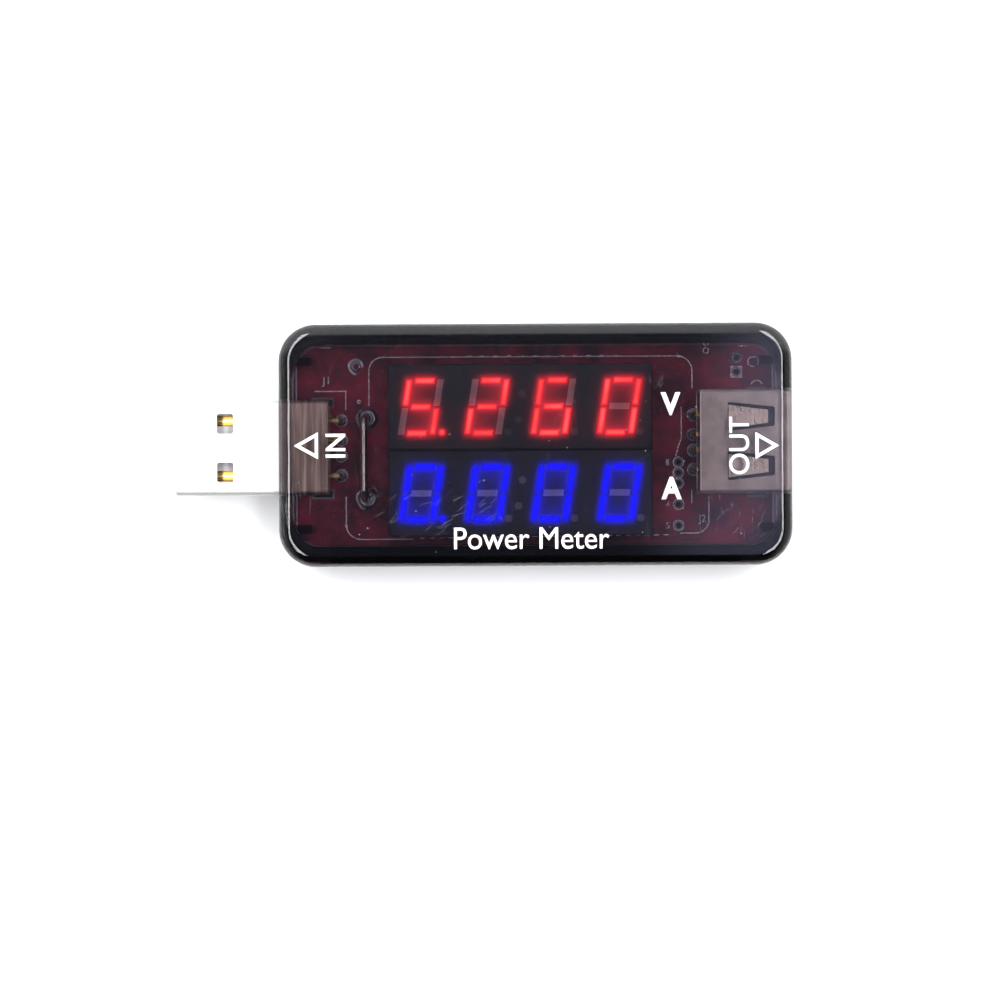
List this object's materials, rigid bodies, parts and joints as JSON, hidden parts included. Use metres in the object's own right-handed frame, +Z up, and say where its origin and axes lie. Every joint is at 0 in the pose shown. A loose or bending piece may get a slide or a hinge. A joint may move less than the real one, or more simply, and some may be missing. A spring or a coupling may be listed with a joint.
{
  "type": "usb power meter",
  "caption": "Pocket in-line power meter in a smoke-clear case, with a plug at one end, a socket at the other, and stacked seven-segment LED displays for voltage and current.",
  "frame": {"origin": "centre of the overall footprint, plug included, on the surface the meter lies on", "axes": "+X out of the socket's mouth and away from the plug, +Y across the case towards the voltage display, +Z up through the displays"},
  "size_m": [0.0776, 0.0306, 0.0128],
  "materials": {
    "smoke_case": "clear smoke-tinted, polished, finely scratched",
    "red_board": "satin solder mask",
    "led_board": "white, matt",
    "bright_nickel": "bright, finely grained",
    "steel_sheet": "satin, rolled",
    "white_plastic": "satin",
    "black_plastic": "satin",
    "gold_contact": "gold-plated, polished",
    "display_black": "satin black face",
    "red_glow": "glowing red light pipe",
    "blue_glow": "glowing blue light pipe",
    "dark_diffuser": "unlit milky light pipe",
    "led_die": "glossy",
    "tinned_metal": "tinned, satin",
    "solder": "smooth solder",
    "shunt_metal": "drawn resistance wire, satin",
    "chip_black": "moulded, matt",
    "ceramic_tan": "matt ceramic"
  },
  "bodies": {
    "meter": {"bottom_cover": "smoke_case", "chip_capacitor_terminals": "tinned_metal", "chip_capacitors": "ceramic_tan", "chip_resistor_terminals": "tinned_metal", "chip_resistors": "chip_black", "circuit_board": "red_board", "current_amplifier": "chip_black", "current_amplifier_leads": "tinned_metal", "current_dark_segments": "dark_diffuser", "current_display_housing": "display_black", "current_display_pins": "tinned_metal", "current_led_board": "led_board", "current_led_dies": "led_die", "current_lit_segments": "blue_glow", "display_solder_joints": "solder", "microcontroller": "chip_black", "microcontroller_leads": "tinned_metal", "plug_contacts": "gold_contact", "plug_insulator": "white_plastic", "plug_shell": "bright_nickel", "plug_solder_joints": "solder", "protection_diode": "chip_black", "protection_diode_terminals": "tinned_metal", "shunt_solder_joints": "solder", "shunt_wire": "shunt_metal", "socket_insulator": "black_plastic", "socket_pins": "gold_contact", "socket_shell": "steel_sheet", "socket_solder_joints": "solder", "top_cover": "smoke_case", "voltage_dark_segments": "dark_diffuser", "voltage_display_housing": "display_black", "voltage_display_pins": "tinned_metal", "voltage_led_board": "led_board", "voltage_led_dies": "led_die", "voltage_lit_segments": "red_glow", "voltage_regulator": "chip_black", "voltage_regulator_leads": "tinned_metal"},
    "upper_spring_1": {"socket_upper_spring_1": "steel_sheet"},
    "upper_spring_2": {"socket_upper_spring_2": "steel_sheet"},
    "lower_spring_1": {"socket_lower_spring_1": "steel_sheet"},
    "lower_spring_2": {"socket_lower_spring_2": "steel_sheet"},
    "contact_1": {"socket_contact_1": "gold_contact"},
    "contact_2": {"socket_contact_2": "gold_contact"},
    "contact_3": {"socket_contact_3": "gold_contact"},
    "contact_4": {"socket_contact_4": "gold_contact"}
  },
  "joints": [
    {"name": "upper_spring_1_flex", "type": "hinge", "parent": "meter", "child": "upper_spring_1", "pos_m": [0.03095, -0.00277, 0.01067], "axis": [0, -1, 0], "range_deg": [0, 5], "stiffness_Nm_per_rad": 0.2},
    {"name": "upper_spring_2_flex", "type": "hinge", "parent": "meter", "child": "upper_spring_2", "pos_m": [0.03095, 0.00343, 0.01067], "axis": [0, -1, 0], "range_deg": [0, 5], "stiffness_Nm_per_rad": 0.2},
    {"name": "lower_spring_1_flex", "type": "hinge", "parent": "meter", "child": "lower_spring_1", "pos_m": [0.03095, -0.00277, 0.00525], "axis": [0, 1, 0], "range_deg": [0, 5], "stiffness_Nm_per_rad": 0.2},
    {"name": "lower_spring_2_flex", "type": "hinge", "parent": "meter", "child": "lower_spring_2", "pos_m": [0.03095, 0.00343, 0.00525], "axis": [0, 1, 0], "range_deg": [0, 5], "stiffness_Nm_per_rad": 0.2},
    {"name": "contact_1_flex", "type": "hinge", "parent": "meter", "child": "contact_1", "pos_m": [0.02995, -0.00317, 0.00824], "axis": [0, -1, 0], "range_deg": [0, 5], "stiffness_Nm_per_rad": 0.06},
    {"name": "contact_2_flex", "type": "hinge", "parent": "meter", "child": "contact_2", "pos_m": [0.02995, -0.00067, 0.00824], "axis": [0, -1, 0], "range_deg": [0, 5], "stiffness_Nm_per_rad": 0.06},
    {"name": "contact_3_flex", "type": "hinge", "parent": "meter", "child": "contact_3", "pos_m": [0.02995, 0.00133, 0.00824], "axis": [0, -1, 0], "range_deg": [0, 5], "stiffness_Nm_per_rad": 0.06},
    {"name": "contact_4_flex", "type": "hinge", "parent": "meter", "child": "contact_4", "pos_m": [0.02995, 0.00383, 0.00824], "axis": [0, -1, 0], "range_deg": [0, 5], "stiffness_Nm_per_rad": 0.06}
  ]
}
